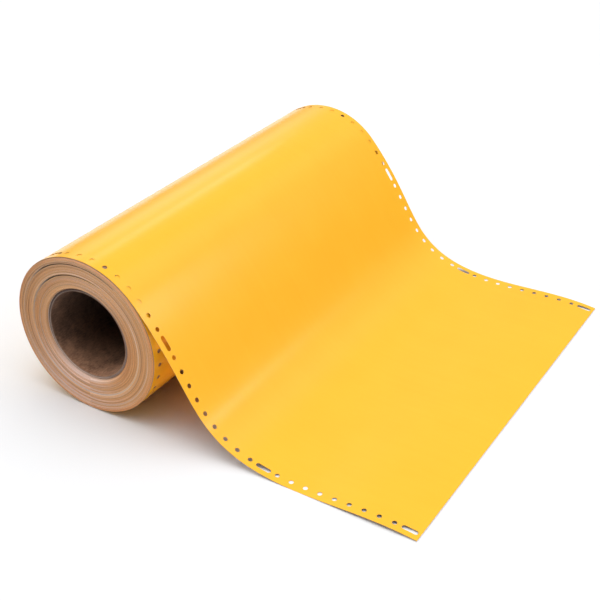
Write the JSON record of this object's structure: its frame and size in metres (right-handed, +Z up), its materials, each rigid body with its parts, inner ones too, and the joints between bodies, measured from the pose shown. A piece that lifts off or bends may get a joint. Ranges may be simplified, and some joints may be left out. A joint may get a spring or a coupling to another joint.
{
  "type": "roll of sign vinyl",
  "caption": "Wound roll of edge-punched vinyl film on a paperboard core, with its free end trailing from the roll down onto the floor.",
  "frame": {"origin": "middle of the floor rectangle that the roll and its tail cover; the roll's axis is along Y, 69.5 mm above the floor at x = -115.8 mm", "axes": "+Z up from the floor, +X the way the tail trails off the roll, +Y along the roll's axis, away from the pictured end"},
  "size_m": [0.371, 0.382, 0.1392],
  "materials": {
    "vinyl_film": "satin gloss cast vinyl",
    "release_liner": "smooth siliconised kraft paper",
    "wound_web": "stacked edges of film and liner",
    "paperboard": "spiral-wound board with a cut end",
    "core_facing": "calendered brown ply",
    "adhesive_tape": "clear packing tape"
  },
  "bodies": {
    "last_turn": {"last_turn_film": "vinyl_film", "last_turn_liner": "release_liner"},
    "spool": {"core_inner_ply": "core_facing", "core_wall": "paperboard", "core_outer_ply": "core_facing", "start_tape": "adhesive_tape", "core_turns": "wound_web", "inner_turns": "wound_web", "middle_turns": "wound_web", "outer_turns": "wound_web"},
    "tail_slope": {"tail_slope_film": "vinyl_film", "tail_slope_liner": "release_liner"},
    "tail_floor": {"tail_floor_film": "vinyl_film", "tail_floor_liner": "release_liner"},
    "tail_end": {"tail_end_film": "vinyl_film"}
  },
  "joints": [
    {"name": "spool_turn", "type": "hinge", "parent": "last_turn", "child": "spool", "pos_m": [-0.11576, 0, 0.0695], "axis": [0, 1, 0], "continuous": true},
    {"name": "tail_lift", "type": "hinge", "parent": "last_turn", "child": "tail_slope", "pos_m": [-0.07013, 0, 0.12216], "axis": [0, -1, 0], "range_deg": [0, 60]},
    {"name": "tail_bend", "type": "hinge", "parent": "tail_slope", "child": "tail_floor", "pos_m": [0.03156, 0, 0.00797], "axis": [0, -1, 0], "range_deg": [0, 45]},
    {"name": "film_peel", "type": "hinge", "parent": "tail_floor", "child": "tail_end", "pos_m": [0.14499, 0, 0.00261], "axis": [0, -1, 0], "range_deg": [0, 120]}
  ]
}
